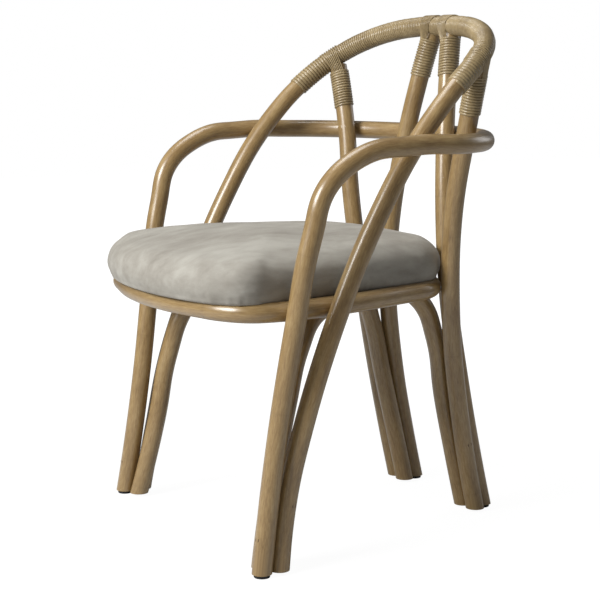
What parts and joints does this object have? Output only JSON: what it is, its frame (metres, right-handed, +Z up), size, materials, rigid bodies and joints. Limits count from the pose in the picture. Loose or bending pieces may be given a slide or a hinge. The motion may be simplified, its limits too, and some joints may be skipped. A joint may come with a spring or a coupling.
{
  "type": "cane armchair",
  "caption": "Armchair of bent round canes with a peel-bound hoop back, leg arches, a seat ring and an upholstered velvet seat.",
  "frame": {"origin": "on the floor, under the middle of the chair's bounding box", "axes": "+Z up, the sitter faces -Y, +X is the sitter's left"},
  "size_m": [0.5804, 0.5992, 0.8177],
  "materials": {
    "cane": "satin lacquer",
    "peel": "satin lacquer",
    "velvet": "velvet pile",
    "foam": "matte",
    "plywood": "unfinished",
    "lining": "matte",
    "glide": "matte",
    "steel": "zinc plated",
    "filler": "matte"
  },
  "bodies": {
    "root": {"arm_plugs": "cane", "arm_rail": "cane", "arm_screws": "steel", "back_hoop": "cane", "crown_binding": "peel", "cushion_core": "foam", "cushion_cover": "velvet", "dust_cloth": "lining", "foot_glides": "glide", "glide_nails": "steel", "hoop_binding_left": "peel", "hoop_binding_right": "peel", "leg_arch_left": "cane", "leg_arch_right": "cane", "leg_plugs": "filler", "leg_screws": "steel", "ring_screws": "steel", "saddle_strands_inner_left": "peel", "saddle_strands_inner_right": "peel", "saddle_strands_outer_left": "peel", "saddle_strands_outer_right": "peel", "seat_board": "plywood", "seat_ring": "cane", "seat_screws": "steel", "spindle_binding_inner_left": "peel", "spindle_binding_inner_right": "peel", "spindle_binding_outer_left": "peel", "spindle_binding_outer_right": "peel", "spindle_inner_left": "cane", "spindle_inner_right": "cane", "spindle_outer_left": "cane", "spindle_outer_right": "cane"}
  },
  "joints": []
}
